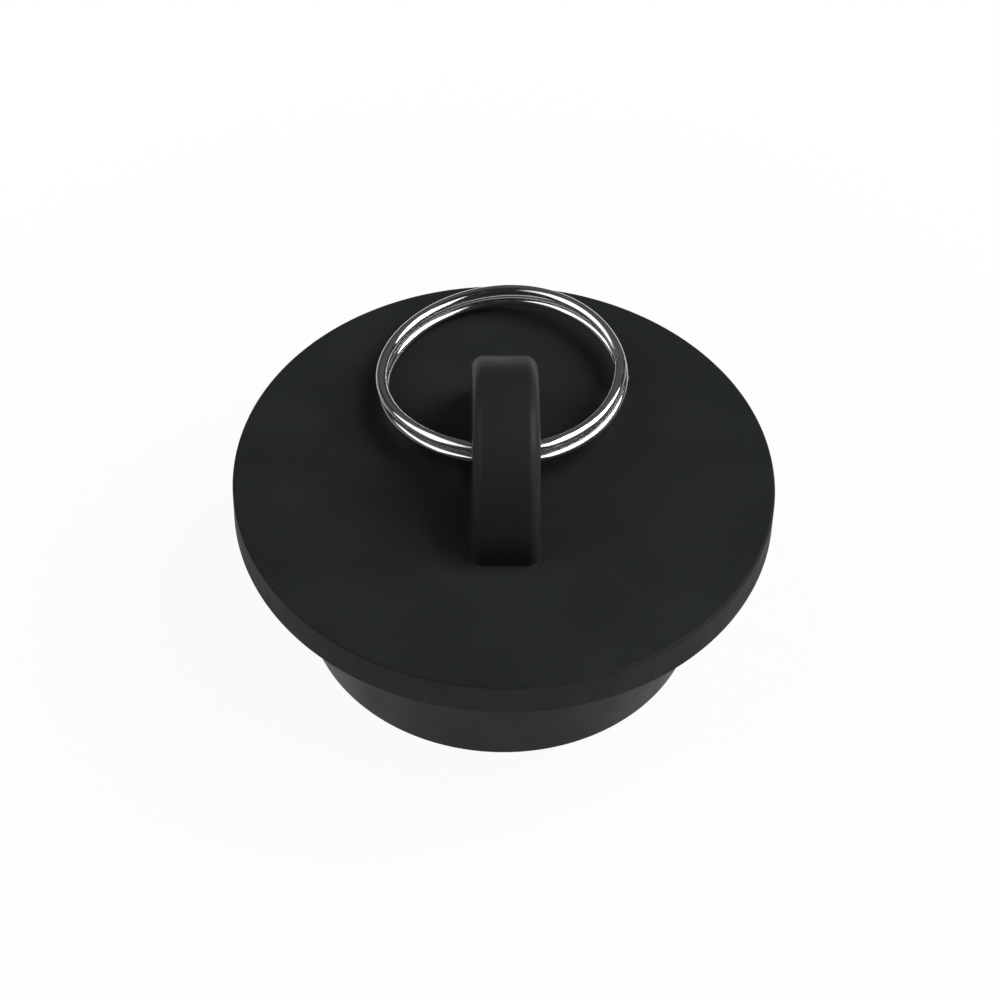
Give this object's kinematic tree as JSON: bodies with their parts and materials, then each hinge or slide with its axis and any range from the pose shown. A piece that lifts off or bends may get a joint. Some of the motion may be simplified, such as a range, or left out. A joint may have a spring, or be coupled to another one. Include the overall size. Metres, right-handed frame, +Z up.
{
  "type": "drain stopper",
  "caption": "Round rubber drain stopper with a flat flange, a tapered plug, a moulded loop on top and a split ring through the loop's eye.",
  "frame": {"origin": "centre of the plug's lower rim, on the surface that the stopper stands on", "axes": "+Z up along the plug's axis; the loop stands in the YZ plane, its eye runs along X, and the ring lies back towards +Y"},
  "size_m": [0.036, 0.036, 0.0207],
  "materials": {
    "black_rubber": "matte moulded",
    "ring_steel": "nickel plated, bright"
  },
  "bodies": {
    "stopper": {"rubber_plug": "black_rubber"},
    "ring": {"split_ring": "ring_steel"}
  },
  "joints": [
    {"name": "ring_swing", "type": "hinge", "parent": "stopper", "child": "ring", "pos_m": [-0.00012, -0.0005, 0.0154], "axis": [1, 0, 0], "range_deg": [0, 189]}
  ]
}
